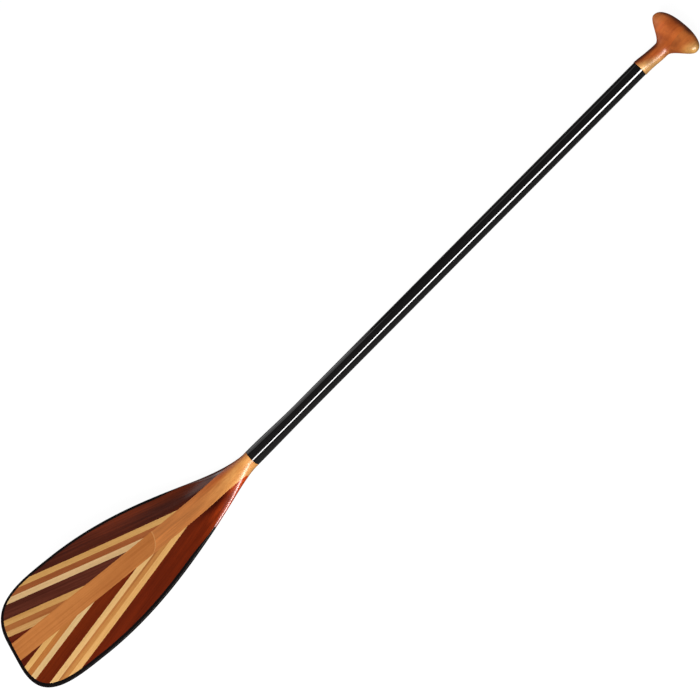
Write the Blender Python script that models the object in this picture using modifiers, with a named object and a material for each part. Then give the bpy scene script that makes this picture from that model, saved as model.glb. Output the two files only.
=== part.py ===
"""A bent-shaft canoe paddle: a composite tube, a laminated blade with a resin edge, and a palm grip."""

import math

import bmesh
import bpy
from mathutils import Matrix, Vector

# Lengths are in metres and angles in degrees.
# +X runs up the shaft to the grip, +Y to the blade's left edge and +Z up, on the hollow side of the bend.
# A station is a distance along the centre line: 0 at the tube's lower end, growing towards the tip.

# Shaft tube
SHAFT_DIAMETER = 0.025
THROAT_DIAMETER = 0.0285
TUBE_LENGTH = 0.834
TUBE_WALL = 0.002
TUBE_FLARE_LENGTH = 0.110
TUBE_SIDES = 24

# Bend between shaft and blade
BEND_ANGLE = 12.0
BEND_RADIUS = 0.6
BEND_STATION = 0.005
SETTLE_STATION = 0.080

# Blade outline
BLADE_LENGTH = 0.4862
BLADE_WIDTH = 0.206
FLARE_STATION = 0.006
FLARE_POWER = 1.43
END_LENGTH = 0.1262
END_POWER = 3.5

# Blade thickness
BLADE_THICKNESS = 0.0066
EDGE_THICKNESS = 0.0052
TAPER_STATION = 0.360
TAPER_POWER = 2.4
FLATTEN_STATION = 0.120
FLAT_SHARE_LIMIT = 0.5
CROWN_POWER = 1.2

# Sticks and laminations. A reach is measured back from the tip
STICK_WIDTH = 0.0346
CHEVRON_ANGLE = 17.1
FAN_REACH = 0.3397
FAN_STRIP_WIDTH = 0.0101
DARK_STRIP_WIDTH = 0.0247
SCARF_REACH = 0.2642
SCARF_SWEEP = 0.025
SCARF_SLOPE = 5.0

# Edge guard
GUARD_WIDTH = 0.006
GUARD_END_WIDTH = 0.0015
GUARD_STATION = 0.112
GUARD_TAPER = 0.060

# Tenons and fits
THROAT_TENON = 0.060
GRIP_TENON = 0.045
GAP = 0.0003

# Palm grip
GRIP_HEIGHT = 0.090
GRIP_WIDTH = 0.097
GRIP_SHOULDER_DIAMETER = 0.0262
GRIP_THICKNESS = 0.026
NECK_WIDTH = 0.026
NECK_THICKNESS = 0.021
NECK_SET_BACK = 0.005
NECK_BOTTOM = 0.021
NECK_TOP = 0.042
LOBE_HEIGHT = 0.0715
LOBE_ROUNDNESS = 2.5
GRIP_TOP_POWER = 2.35
GRIP_CORE_WIDTH = 0.0284

# Mesh fineness
SECTION_SIDES = 36
THROAT_RINGS = 18
THROAT_CROWDING = 1.3
END_RINGS = 9
END_RING_SHARE = 0.8
TENON_RINGS = 3
FLARE_POINTS = 8
SCARF_POINTS = 6
GRIP_RINGS = 8
GRIP_END_SHARE = 0.5
SMOOTH_ANGLE = 35.0
PROBE_STEP = 0.0005
MERGE_DISTANCE = 1e-6

# The exponent that makes a rounded section a plain ellipse
ELLIPSE = 2

# Cutters reach this far past what they cut
CUT_REACH = 0.060
CUT_FAR = 0.300

# Stations that follow from the sizes above
WIDEST_STATION = BLADE_LENGTH - END_LENGTH
FAN_STATION = BLADE_LENGTH - FAN_REACH
SCARF_STATION = BLADE_LENGTH - SCARF_REACH


def smooth(share):
    """0 up to 0, 1 from 1 on, and an even swell between."""
    share = min(max(share, 0.0), 1.0)
    return share * share * (3 - 2 * share)


def mix(low, high, share):
    return low + (high - low) * share


def tube_radius(station):
    """Outer radius of the tube, which swells evenly towards its lower end."""
    swell = smooth(1 + station / TUBE_FLARE_LENGTH)
    return mix(SHAFT_DIAMETER, THROAT_DIAMETER, swell) / 2


def rise(station):
    """How far the centre lies above the shaft's own line: the tube swells on its hollow side alone."""
    swelling = tube_radius(station) - SHAFT_DIAMETER / 2
    return swelling * (1 - smooth(station / SETTLE_STATION))


def centre_line(station):
    """The centre line's point, with its downward direction and its normal on the hollow side."""
    turned = min(max((station - BEND_STATION) / BEND_RADIUS, 0.0), math.radians(BEND_ANGLE))
    down = Vector((-math.cos(turned), 0, math.sin(turned)))
    normal = Vector((math.sin(turned), 0, math.cos(turned)))
    point = Vector((-BEND_STATION - BEND_RADIUS * math.sin(turned), 0, BEND_RADIUS * (1 - math.cos(turned))))
    straight = station - BEND_STATION - BEND_RADIUS * turned
    return point + down * straight + normal * rise(station), down, normal


def half_width(station):
    """Half of the blade's width: a flare down to the widest station, then a rounded end."""
    widest = BLADE_WIDTH / 2
    if station <= WIDEST_STATION:
        left = min(1.0, (WIDEST_STATION - station) / (WIDEST_STATION - FLARE_STATION))
        return mix(THROAT_DIAMETER / 2, widest, (1 - left**2) ** FLARE_POWER)
    share = (station - WIDEST_STATION) / (BLADE_LENGTH - WIDEST_STATION)
    return widest * max(0.0, 1 - share**END_POWER) ** (1 / END_POWER)


def half_thickness(station):
    """Half of the thickness along the centre line."""
    left = max(0.0, 1 - station / TAPER_STATION)
    return mix(BLADE_THICKNESS, THROAT_DIAMETER, left**TAPER_POWER) / 2


def surface_height(station, width, side):
    """Height of the face above the centre plane, at this far to the side of the centre line."""
    flatness = smooth(station / FLATTEN_STATION)
    middle = half_thickness(station)
    edge = mix(middle, EDGE_THICKNESS / 2, flatness)
    flat = flatness * min(STICK_WIDTH / 2, FLAT_SHARE_LIMIT * width)
    slope = max(0.0, abs(side) - flat) / (width - flat)
    height = edge + (middle - edge) * max(0.0, 1 - slope**2) ** CROWN_POWER
    rounding = mix(width, edge, flatness)
    into_rounding = min(1.0, max(0.0, abs(side) - (width - rounding)) / rounding)
    into_tip = min(1.0, max(0.0, station - (BLADE_LENGTH - edge)) / edge)
    return height * math.sqrt(1 - into_rounding**2) * math.sqrt(1 - into_tip**2)


def section_angles():
    return [2 * math.pi * i / SECTION_SIDES for i in range(SECTION_SIDES)]


def round_ring(station, radius):
    point, _, normal = centre_line(station)
    return [
        point + Vector((0, radius * math.cos(a), 0)) + normal * radius * math.sin(a)
        for a in section_angles()
    ]


def blade_ring(station, width):
    point, _, normal = centre_line(station)
    ring = []
    for angle in section_angles():
        side = width * math.cos(angle)
        height = math.copysign(surface_height(station, width, side), math.sin(angle))
        ring.append(point + Vector((0, side, 0)) + normal * height)
    return ring


def blade_stations():
    """Stations of the blade's sections, closer together at the throat and round the end."""
    upper = [WIDEST_STATION * (k / THROAT_RINGS) ** THROAT_CROWDING for k in range(1, THROAT_RINGS + 1)]
    reach = BLADE_LENGTH - WIDEST_STATION
    turns = [math.radians(90 * k / END_RINGS) for k in range(1, END_RINGS)]
    lower = [WIDEST_STATION + reach * math.sin(turn) ** (2 / END_POWER) for turn in turns]
    return upper + lower


def start_scene():
    for obj in list(bpy.data.objects):
        bpy.data.objects.remove(obj)
    parts = bpy.data.collections.new("canoe_paddle")
    cutters = bpy.data.collections.new("cutters")
    bpy.context.scene.collection.children.link(parts)
    bpy.context.scene.collection.children.link(cutters)
    carrier = bpy.data.objects.new("paddle", None)
    parts.objects.link(carrier)
    return parts, cutters, carrier


PARTS, CUTTERS, CARRIER = start_scene()


def material(name, colour, roughness):
    made = bpy.data.materials.new(name)
    made.use_nodes = True
    shader = made.node_tree.nodes["Principled BSDF"]
    shader.inputs["Base Color"].default_value = (*colour, 1)
    shader.inputs["Roughness"].default_value = roughness
    return made


def add_object(name, data, look=None):
    """Links a piece that rides on the carrier, or a hidden cutter where it has no look."""
    obj = bpy.data.objects.new(name, data)
    (PARTS if look else CUTTERS).objects.link(obj)
    obj.parent = CARRIER
    if look:
        data.materials.append(look)
    else:
        obj.hide_render = True
        obj.display_type = "WIRE"
    return obj


def shade(mesh):
    mesh.shade_smooth()
    mesh.set_sharp_from_angle(angle=math.radians(SMOOTH_ANGLE))


def mesh_of(name, bm):
    bmesh.ops.recalc_face_normals(bm, faces=bm.faces)
    if bm.calc_volume(signed=True) < 0:
        bmesh.ops.reverse_faces(bm, faces=bm.faces)
    mesh = bpy.data.meshes.new(name)
    bm.to_mesh(mesh)
    bm.free()
    shade(mesh)
    return mesh


def loft(name, rings):
    """A closed skin of triangles through rings of equal counts. A ring squeezed to a line closes itself."""
    bm = bmesh.new()
    loops = [[bm.verts.new(point) for point in ring] for ring in rings]
    for first, second in zip(loops, loops[1:]):
        for i in range(len(first)):
            j = (i + 1) % len(first)
            bm.faces.new((first[i], first[j], second[j], second[i]))
    for ring, loop in ((rings[0], loops[0]), (rings[-1], loops[-1])):
        if len({point.to_tuple(6) for point in ring}) == len(ring):
            bm.faces.new(loop)
    bmesh.ops.remove_doubles(bm, verts=bm.verts, dist=MERGE_DISTANCE)
    bmesh.ops.triangulate(bm, faces=bm.faces)
    return mesh_of(name, bm)


def corner_station():
    """Where the straight runs of shaft and blade would meet, below the tube's end."""
    return BEND_STATION + BEND_RADIUS * math.tan(math.radians(BEND_ANGLE / 2))


def prism(name, outline, lean=0.0):
    """A block square to the blade's face, from (along, side) points measured from the bend's corner."""
    corner = Vector((-corner_station(), 0, 0))
    _, down, normal = centre_line(BLADE_LENGTH)
    sideways = Vector((0, 1, 0))
    bm = bmesh.new()
    low = corner - CUT_REACH * (normal + lean * down)
    face = bm.faces.new([bm.verts.new(low + along * down + side * sideways) for along, side in outline])
    grown = bmesh.ops.extrude_face_region(bm, geom=[face])
    verts = [item for item in grown["geom"] if isinstance(item, bmesh.types.BMVert)]
    bmesh.ops.translate(bm, verts=verts, vec=2 * CUT_REACH * (normal + lean * down))
    return mesh_of(name, bm)


def along_blade(station):
    """A station on the blade's straight run, as a distance from the bend's corner."""
    past_bend = station - BEND_STATION - BEND_RADIUS * math.radians(BEND_ANGLE)
    return past_bend + corner_station() - BEND_STATION


def boolean(obj, other, operation):
    modifier = obj.modifiers.new(operation.lower(), "BOOLEAN")
    modifier.operation = operation
    modifier.object = other
    return obj


def blade_blank_rings():
    """Tenon, shoulder and blade as one run of sections."""
    tenon = [mix(-THROAT_TENON, GAP, k / TENON_RINGS) for k in range(TENON_RINGS + 1)]
    rings = [round_ring(station, tube_radius(station) - TUBE_WALL - GAP) for station in tenon]
    rings.append(blade_ring(GAP, half_width(GAP)))
    rings += [blade_ring(station, half_width(station)) for station in blade_stations()]
    last_width = half_width(mix(blade_stations()[-1], BLADE_LENGTH, END_RING_SHARE))
    rings.append(blade_ring(BLADE_LENGTH, last_width))
    return rings


def guard_inner_edge(extra):
    """One side of the guard's inner edge, as (along, side) points from its upper end to the tip."""
    stations = [s for s in blade_stations() if s > GUARD_STATION]
    stations = [GUARD_STATION] + stations + [BLADE_LENGTH]
    points = []
    for station in stations:
        width = half_width(station)
        before = Vector((-PROBE_STEP, half_width(station - PROBE_STEP) - width))
        across = Vector((-before.y, before.x)).normalized()
        if station == BLADE_LENGTH:
            across = Vector((-1, 0))
        share = smooth((station - GUARD_STATION) / GUARD_TAPER)
        inset = mix(GUARD_END_WIDTH, GUARD_WIDTH, share) - extra
        points.append((along_blade(station) + across.x * inset, max(0.0, width + across.y * inset)))
    return points


def field_outline(extra, end_shift):
    """The wood inside the edge guard: all of the throat, then the guard's inner edge round the blade."""
    wide = BLADE_WIDTH
    edge = guard_inner_edge(extra)
    start = edge[0][0] - end_shift
    left = [(-CUT_FAR, wide), (start, wide), (start, edge[0][1])] + edge[1:]
    right = [(along, -side) for along, side in reversed(left[:-1])]
    return left + right


def chevron_line(crossing, side):
    """How far along the blade a glue line from this crossing has got, this far to the side."""
    return crossing + (side - STICK_WIDTH / 2) / math.tan(math.radians(CHEVRON_ANGLE))


def lamination_outline(first, last, mirror):
    """The plan of one strip, between the glue lines that leave the centre stick at first and last."""
    slant = GAP / 2 / math.sin(math.radians(CHEVRON_ANGLE))
    near = STICK_WIDTH / 2 + GAP / 2
    far = BLADE_WIDTH
    if first is None:
        upper = [(-CUT_FAR, near), (-CUT_FAR, far)]
    else:
        upper = [(chevron_line(first, near) + slant, near), (chevron_line(first, far) + slant, far)]
    if last is None:
        lower = [(BLADE_LENGTH + chevron_line(0, far), far), (BLADE_LENGTH + chevron_line(0, far), near)]
    else:
        lower = [(chevron_line(last, far) - slant, far), (chevron_line(last, near) - slant, near)]
    return [(along, side * mirror) for along, side in upper + lower]


def scarf_line(shift):
    """The scarf across the centre stick: a quarter ellipse, at its station on the upper face."""
    half = STICK_WIDTH / 2 - GAP / 2
    end = along_blade(SCARF_STATION) - SCARF_SLOPE * half_thickness(SCARF_STATION) + shift
    points = []
    for k in range(SCARF_POINTS + 1):
        turn = math.radians(90 * k / SCARF_POINTS)
        points.append((end - SCARF_SWEEP * math.cos(turn), half * (1 - 2 * math.sin(turn))))
    return points


def build_tube(look):
    curve = bpy.data.curves.new("shaft_tube", "CURVE")
    curve.dimensions = "3D"
    curve.bevel_depth = SHAFT_DIAMETER / 2
    curve.bevel_resolution = TUBE_SIDES // 2 - 2
    straight = [-TUBE_LENGTH, -TUBE_LENGTH / 2]
    flared = [-TUBE_FLARE_LENGTH * (1 - k / FLARE_POINTS) for k in range(FLARE_POINTS + 1)]
    stations = straight + flared
    spline = curve.splines.new("POLY")
    spline.points.add(len(stations) - 1)
    for point, station in zip(spline.points, stations):
        point.co = (*centre_line(station)[0], 1)
        point.radius = tube_radius(station) / curve.bevel_depth
    tube = add_object("shaft_tube", curve, look)
    wall = tube.modifiers.new("wall", "SOLIDIFY")
    wall.thickness = TUBE_WALL
    wall.offset = -1
    return tube


def build_blade(looks):
    rings = blade_blank_rings()
    blank = add_object("blade_blank", loft("blade_blank", rings))
    field = add_object("field", prism("field", field_outline(0.0, GAP)))
    core = add_object("blade_core", loft("blade_core", rings))
    boolean(core, field, "INTERSECT")
    guard_cut = add_object("guard_cut", prism("guard_cut", field_outline(GAP, 0.0)))
    guard = add_object("edge_guard", loft("edge_guard", rings), looks["resin"])
    boolean(guard, guard_cut, "DIFFERENCE")

    half = STICK_WIDTH / 2 - GAP / 2
    slant_gap = GAP * math.hypot(1, SCARF_SLOPE) / 2
    throat_plan = [(-CUT_FAR - CUT_REACH * SCARF_SLOPE, -half)]
    throat_plan += reversed(scarf_line(-slant_gap))
    throat_plan += [(-CUT_FAR - CUT_REACH * SCARF_SLOPE, half)]
    throat = add_object("throat_stick", prism("throat_stick", throat_plan, SCARF_SLOPE), looks["throat"])
    boolean(throat, blank, "INTERSECT")
    far = BLADE_LENGTH + CUT_REACH * SCARF_SLOPE
    centre_plan = scarf_line(slant_gap) + [(far, -half), (far, half)]
    centre = add_object("centre_stick", prism("centre_stick", centre_plan, SCARF_SLOPE), looks["centre"])
    boolean(centre, core, "INTERSECT")

    strip = FAN_STRIP_WIDTH / math.sin(math.radians(CHEVRON_ANGLE))
    dark = DARK_STRIP_WIDTH / math.sin(math.radians(CHEVRON_ANGLE))
    plan = [
        ("pale_strip_1", strip, "pale"),
        ("mid_strip_1", strip, "mid"),
        ("cream_strip_1", strip, "cream"),
        ("dark_strip", dark, "dark"),
        ("pale_strip_2", strip, "pale"),
        ("mid_strip_2", strip, "mid"),
        ("cream_strip_2", strip, "cream"),
    ]
    for side, mirror in (("left", 1), ("right", -1)):
        crossing = along_blade(FAN_STATION)
        strips = [("outer_panel", None, crossing, "panel")]
        for name, length, wood in plan:
            strips.append((name, crossing, crossing + length, wood))
            crossing += length
        strips.append(("tip_wedge", crossing, None, "panel"))
        for name, first, last, wood in strips:
            full_name = f"{side}_{name}"
            mesh = prism(full_name, lamination_outline(first, last, mirror))
            boolean(add_object(full_name, mesh, looks[wood]), core, "INTERSECT")


def grip_ring(height, width, thickness, roundness, set_back):
    """A rounded section across the grip, this high above the tube's upper end."""
    ring = []
    for angle in section_angles():
        side = math.copysign(abs(math.cos(angle)) ** (2 / roundness), math.cos(angle))
        up = math.copysign(abs(math.sin(angle)) ** (2 / roundness), math.sin(angle))
        ring.append(Vector((TUBE_LENGTH + height, side * width, up * thickness - set_back)))
    return ring


def grip_rings():
    tenon_radius = SHAFT_DIAMETER / 2 - TUBE_WALL - GAP
    shoulder = GRIP_SHOULDER_DIAMETER / 2
    rings = [grip_ring(height, tenon_radius, tenon_radius, ELLIPSE, 0) for height in (-GRIP_TENON, GAP)]
    rings.append(grip_ring(GAP, shoulder, shoulder, ELLIPSE, 0))
    for k in range(1, 2 * GRIP_RINGS + 1):
        height = mix(GAP, LOBE_HEIGHT, k / (2 * GRIP_RINGS))
        narrowing = smooth(height / NECK_BOTTOM)
        swell = smooth((height - NECK_TOP) / (LOBE_HEIGHT - NECK_TOP))
        width = mix(mix(shoulder, NECK_WIDTH / 2, narrowing), GRIP_WIDTH / 2, swell)
        thickness = mix(mix(shoulder, NECK_THICKNESS / 2, narrowing), GRIP_THICKNESS / 2, swell)
        set_back = NECK_SET_BACK * smooth(height / NECK_TOP) * (1 - swell)
        rings.append(grip_ring(height, width, thickness, mix(ELLIPSE, LOBE_ROUNDNESS, swell), set_back))
    for k in range(1, GRIP_RINGS):
        turn = math.radians(90 * k / GRIP_RINGS)
        height = mix(LOBE_HEIGHT, GRIP_HEIGHT, math.sin(turn) ** (2 / GRIP_TOP_POWER))
        share = math.cos(turn) ** (2 / GRIP_TOP_POWER)
        rings.append(grip_ring(height, GRIP_WIDTH / 2 * share, GRIP_THICKNESS / 2 * share, LOBE_ROUNDNESS, 0))
    last = share * GRIP_END_SHARE
    rings.append(grip_ring(GRIP_HEIGHT, GRIP_WIDTH / 2 * last, GRIP_THICKNESS / 2 * last, LOBE_ROUNDNESS, 0))
    return rings


def slab(name, low_side, high_side):
    """A block that holds the grip's wood between two glue faces."""
    bm = bmesh.new()
    bmesh.ops.create_cube(bm, size=1)
    length = GRIP_TENON + GRIP_HEIGHT + 2 * CUT_REACH
    size = Vector((length, high_side - low_side, 2 * CUT_REACH))
    middle = Vector((TUBE_LENGTH + (GRIP_HEIGHT - GRIP_TENON) / 2, (low_side + high_side) / 2, 0))
    bmesh.ops.transform(bm, matrix=Matrix.Translation(middle) @ Matrix.Diagonal((*size, 1)), verts=bm.verts)
    return mesh_of(name, bm)


def build_grip(look):
    blank = add_object("grip_blank", loft("grip_blank", grip_rings()))
    core_face = GRIP_CORE_WIDTH / 2
    lobe_face = core_face + GAP
    outside = GRIP_WIDTH
    for name, low_side, high_side in (
        ("grip_core", -core_face, core_face),
        ("grip_lobe_left", lobe_face, outside),
        ("grip_lobe_right", -outside, -lobe_face),
    ):
        boolean(add_object(name, slab(name, low_side, high_side), look), blank, "INTERSECT")


def lay_on_floor():
    """Moves the carrier so that the origin is at the bottom centre of the paddle's box."""
    bpy.context.view_layer.update()
    graph = bpy.context.evaluated_depsgraph_get()
    points = []
    for obj in PARTS.objects:
        if obj.type == "EMPTY":
            continue
        evaluated = obj.evaluated_get(graph)
        points += [evaluated.matrix_world @ vert.co for vert in evaluated.to_mesh().vertices]
        evaluated.to_mesh_clear()
    low = Vector([min(point[i] for point in points) for i in range(3)])
    high = Vector([max(point[i] for point in points) for i in range(3)])
    CARRIER.location = (-(low.x + high.x) / 2, -(low.y + high.y) / 2, -low.z)


def build():
    looks = {
        "carbon": material("carbon_tube", (0.012, 0.012, 0.014), 0.3),
        "grip": material("grip_wood", (0.43, 0.14, 0.035), 0.25),
        "throat": material("throat_wood", (0.62, 0.30, 0.09), 0.25),
        "centre": material("centre_wood", (0.50, 0.20, 0.07), 0.25),
        "panel": material("panel_wood", (0.10, 0.014, 0.006), 0.25),
        "dark": material("dark_wood", (0.085, 0.022, 0.016), 0.25),
        "pale": material("pale_wood", (0.60, 0.35, 0.10), 0.25),
        "mid": material("mid_wood", (0.38, 0.13, 0.04), 0.25),
        "cream": material("cream_wood", (0.72, 0.48, 0.20), 0.25),
        "resin": material("edge_resin", (0.010, 0.010, 0.011), 0.25),
    }
    build_tube(looks["carbon"])
    build_blade(looks)
    build_grip(looks["grip"])
    lay_on_floor()


build()
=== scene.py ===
"""The looks of a bent-shaft canoe paddle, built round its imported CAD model."""

import math

import bpy
import numpy as np
from mathutils import Matrix, Vector


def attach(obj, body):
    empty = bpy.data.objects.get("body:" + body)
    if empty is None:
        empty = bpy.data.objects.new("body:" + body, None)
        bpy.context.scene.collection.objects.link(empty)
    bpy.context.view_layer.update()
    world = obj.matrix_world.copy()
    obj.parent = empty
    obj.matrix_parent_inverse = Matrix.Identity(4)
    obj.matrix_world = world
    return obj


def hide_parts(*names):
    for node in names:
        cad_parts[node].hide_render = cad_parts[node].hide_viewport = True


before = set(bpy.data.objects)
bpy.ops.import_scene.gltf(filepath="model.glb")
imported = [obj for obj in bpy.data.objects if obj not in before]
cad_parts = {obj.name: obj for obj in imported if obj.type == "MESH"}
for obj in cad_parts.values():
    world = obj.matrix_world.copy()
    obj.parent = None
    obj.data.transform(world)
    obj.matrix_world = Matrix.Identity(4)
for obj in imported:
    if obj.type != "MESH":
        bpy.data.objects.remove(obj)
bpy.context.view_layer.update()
bpy.ops.object.select_all(action="DESELECT")


# The camera: a short telephoto lens that looks down on the paddle's hollow face from beyond its right
# edge, so that the shaft runs from the lower left of the picture to the upper right.
CAMERA_PLACE = Vector((0.3748, -1.3004, 1.9837))
CAMERA_RIGHT = Vector((0.6955, -0.5302, -0.4848)).normalized()
CAMERA_UP = Vector((0.7017, 0.6464, 0.2996))
CAMERA_LENS = 79.7

camera_back = CAMERA_RIGHT.cross(CAMERA_UP).normalized()
camera_turn = Matrix((CAMERA_RIGHT, camera_back.cross(CAMERA_RIGHT), camera_back)).transposed().to_4x4()
bpy.ops.object.camera_add()
camera = bpy.context.object
camera.matrix_world = Matrix.Translation(CAMERA_PLACE) @ camera_turn
camera.data.lens = CAMERA_LENS
bpy.context.scene.camera = camera
bpy.context.scene.view_settings.view_transform = "Standard"


# The floor: a sheet of white laminate with no edge in sight. Most of its white is a glow that the camera
# and clear things see, and polished things see a little of. The rest is lit, and keeps the paddle's shadow.
FLOOR_SIZE = 30.0
FLOOR_LIT_SHARE = (0.11, 0.11, 0.11, 1.0)
FLOOR_GLOW = 0.95
FLOOR_MIRRORED_GLOW = 0.07


def link(tree, value, socket):
    """Sets a socket, or links it where the value is another node's output."""
    if isinstance(value, bpy.types.NodeSocket):
        tree.links.new(value, socket)
    else:
        socket.default_value = value


def node(tree, kind, inputs=(), **settings):
    """Adds a node, with its settings and with its inputs given by name or number."""
    made = tree.nodes.new("ShaderNode" + kind)
    for name, value in settings.items():
        setattr(made, name, value)
    for key, value in dict(inputs).items():
        link(tree, value, made.inputs[key])
    return made


def calculate(tree, operation, *values, clamp=False):
    """A Math node's result."""
    return node(tree, "Math", dict(enumerate(values)), operation=operation, use_clamp=clamp).outputs[0]


bpy.ops.mesh.primitive_plane_add(size=FLOOR_SIZE)
floor = bpy.context.object
floor.name = "floor"
floor_look = bpy.data.materials.new("white_laminate")
floor_look.use_nodes = True
tree = floor_look.node_tree
tree.nodes.clear()
path = node(tree, "LightPath").outputs
seen = calculate(tree, "MAXIMUM", path["Is Camera Ray"], path["Is Transmission Ray"])
mirrored = calculate(tree, "MULTIPLY", path["Is Glossy Ray"], FLOOR_MIRRORED_GLOW)
strength = calculate(tree, "MULTIPLY_ADD", seen, FLOOR_GLOW, mirrored)
matt = node(tree, "BsdfDiffuse", {"Color": FLOOR_LIT_SHARE}).outputs[0]
glow = node(tree, "Emission", {"Strength": strength}).outputs[0]
both = node(tree, "AddShader", {0: matt, 1: glow}).outputs[0]
node(tree, "OutputMaterial", {"Surface": both})
floor.data.materials.append(floor_look)


# The lamps: a long narrow softbox beside the camera, nearer at the grip, which draws the white line down
# the tube, and a broad key lamp behind it. Three pale cards on the far side grey the left flanks of the
# tube, the blade's rim by the throat and the grip.
SOFTBOX_UPPER_END = Vector((0.735, -1.120, 0.580))
SOFTBOX_LOWER_END = Vector((-0.831, -1.940, 1.440))
SOFTBOX_WIDTH = 0.43
SOFTBOX_EXTRA = 0.5
SOFTBOX_POWER = 112.0
KEY_PLACE = Vector((-1.3, -2.0, 1.9))
KEY_SIZE = (2.0, 1.6)
KEY_POWER = 121.0
CARDS = {
    "tube_card": dict(place=Vector((-0.99, 3.6, 2.3)), size=(0.86, 4.6), power=12.5),
    "rim_card": dict(place=Vector((-0.42, 1.8, 0.25)), size=(0.44, 0.5), power=0.55),
    "grip_card": dict(place=Vector((0.515, 1.8, 1.97)), size=(0.75, 1.4), power=1.6),
}
FILL_STRENGTH = 0.25
HORIZON_STRENGTH = 0.10
CEILING_STRENGTH = 0.03
CEILING_HEIGHT = 0.16
TARGET = Vector((0.0, 0.0, 0.03))
GRIPWARDS = Vector((1.0, 0.0, 0.0))
RIGHTWARDS = Vector((0.0, -1.0, 0.0))


def area_lamp(name, place, size, power, along, facing, diffuse, glossy):
    """A rectangular lamp whose long side runs along a direction, facing another as nearly as that lets it."""
    bpy.ops.object.light_add(type="AREA")
    lamp = bpy.context.object
    lamp.name = name
    lamp.data.shape = "RECTANGLE"
    lamp.data.size, lamp.data.size_y = size
    lamp.data.energy = power
    side = along.normalized()
    back = (facing.dot(side) * side - facing).normalized()
    turn = Matrix((side, back.cross(side), back)).transposed().to_4x4()
    lamp.matrix_world = Matrix.Translation(place) @ turn
    lamp.visible_diffuse = diffuse
    lamp.visible_glossy = glossy


softbox_run = SOFTBOX_UPPER_END - SOFTBOX_LOWER_END
softbox_place = (SOFTBOX_UPPER_END + SOFTBOX_LOWER_END) / 2
softbox_size = (softbox_run.length + SOFTBOX_EXTRA, SOFTBOX_WIDTH)
area_lamp("softbox", softbox_place, softbox_size, SOFTBOX_POWER, softbox_run, TARGET - softbox_place,
          diffuse=False, glossy=True)
area_lamp("key_lamp", KEY_PLACE, KEY_SIZE, KEY_POWER, GRIPWARDS, TARGET - KEY_PLACE,
          diffuse=True, glossy=False)
for name, card in CARDS.items():
    area_lamp(name, **card, along=GRIPWARDS, facing=RIGHTWARDS, diffuse=False, glossy=True)


def ramp(tree, value, source=(0.0, 1.0), target=(0.0, 1.0), curve="LINEAR"):
    """A Map Range node's result: the value carried over from the source range to the target range."""
    inputs = {"Value": value, "From Min": source[0], "From Max": source[1],
              "To Min": target[0], "To Max": target[1]}
    return node(tree, "MapRange", inputs, interpolation_type=curve).outputs[0]


world = bpy.data.worlds.new("studio")
bpy.context.scene.world = world
world.use_nodes = True
tree = world.node_tree
tree.nodes.clear()
path = node(tree, "LightPath").outputs
seen = calculate(tree, "MAXIMUM", path["Is Camera Ray"], path["Is Transmission Ray"])
height = node(tree, "SeparateXYZ", {0: node(tree, "TexCoord").outputs["Generated"]}).outputs["Z"]
wall = ramp(tree, height, (0.0, CEILING_HEIGHT), (HORIZON_STRENGTH, CEILING_STRENGTH), "SMOOTHSTEP")
reflected = calculate(tree, "MULTIPLY", path["Is Glossy Ray"], wall)
filled = calculate(tree, "MULTIPLY", path["Is Diffuse Ray"], FILL_STRENGTH)
strength = calculate(tree, "ADD", calculate(tree, "ADD", seen, reflected), filled)
sky = node(tree, "Background", {"Color": (1, 1, 1, 1), "Strength": strength}).outputs[0]
node(tree, "OutputWorld", {"Surface": sky})


# The shaft: one round tube of braided carbon in clear resin, 25 mm across, with a 2 mm wall. It swells at
# its lower end, towards the hollow side, where the blade's tenon is glued in. The grip's is glued in above.
TUBE_FOOT = Vector((-0.223243, 0.0, 0.015477))
TUBE_LENGTH = 0.834
SHAFT_DIAMETER = 0.025
THROAT_DIAMETER = 0.0285
TUBE_FLARE_LENGTH = 0.110
TUBE_WALL = 0.002
TUBE_SIDES = 96
TUBE_STRAIGHT_RINGS = 12
TUBE_FLARE_RINGS = 44
TUBE_EDGE = 0.00035
SHARP_ANGLE = math.radians(30.0)
MERGE_DISTANCE = 1e-6
SETTLE_STATION = 0.080
BEND_ANGLE = math.radians(12.0)
BEND_RADIUS = 0.6
BEND_STATION = 0.005
TOWS_ROUND = 36
TOW_LENGTH = 0.0022
# The tows' colours, from dark to a painted sheen on the tows that lie on top.
TOW_BRIGHT = (0.0150, 0.0140, 0.0140, 1)
TOW_DARK = (0.0045, 0.0040, 0.0040, 1)
TOW_ROUGHNESS = (0.35, 0.55)
FIBRES_ACROSS = 9.0
FIBRES_ALONG = 0.8
BLOTCHES_PER_TOW = 0.16
CARBON_DETAIL = 3.0
UNDER_PAINTED_GLINT = 0.25
BLOTCH_FLOOR = 0.55
WEAVE_RELIEF = 0.12
WEAVE_DEPTH = 0.0002
CLEAR_IOR = 1.5
TUBE_HAZE = 0.03


def smooth(share):
    """A smooth step from 0 to 1."""
    share = min(max(share, 0.0), 1.0)
    return share * share * (3 - 2 * share)


def mix(low, high, share):
    """The value this share of the way from low to high."""
    return low + (high - low) * share


def tube_radius(station):
    """The tube's outer radius. A station is the distance down the centre line from the tube's lower end."""
    return mix(SHAFT_DIAMETER, THROAT_DIAMETER, smooth(1 + station / TUBE_FLARE_LENGTH)) / 2


def centre_line(station):
    """The point of the centre line at a station, with its downward direction and its normal."""
    turned = min(max((station - BEND_STATION) / BEND_RADIUS, 0.0), BEND_ANGLE)
    down = Vector((-math.cos(turned), 0, math.sin(turned)))
    normal = Vector((math.sin(turned), 0, math.cos(turned)))
    bend = Vector((-BEND_STATION - BEND_RADIUS * math.sin(turned), 0, BEND_RADIUS * (1 - math.cos(turned))))
    straight = station - BEND_STATION - BEND_RADIUS * turned
    rise = (tube_radius(station) - SHAFT_DIAMETER / 2) * (1 - smooth(station / SETTLE_STATION))
    return TUBE_FOOT + bend + down * straight + normal * rise, down, normal


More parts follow.
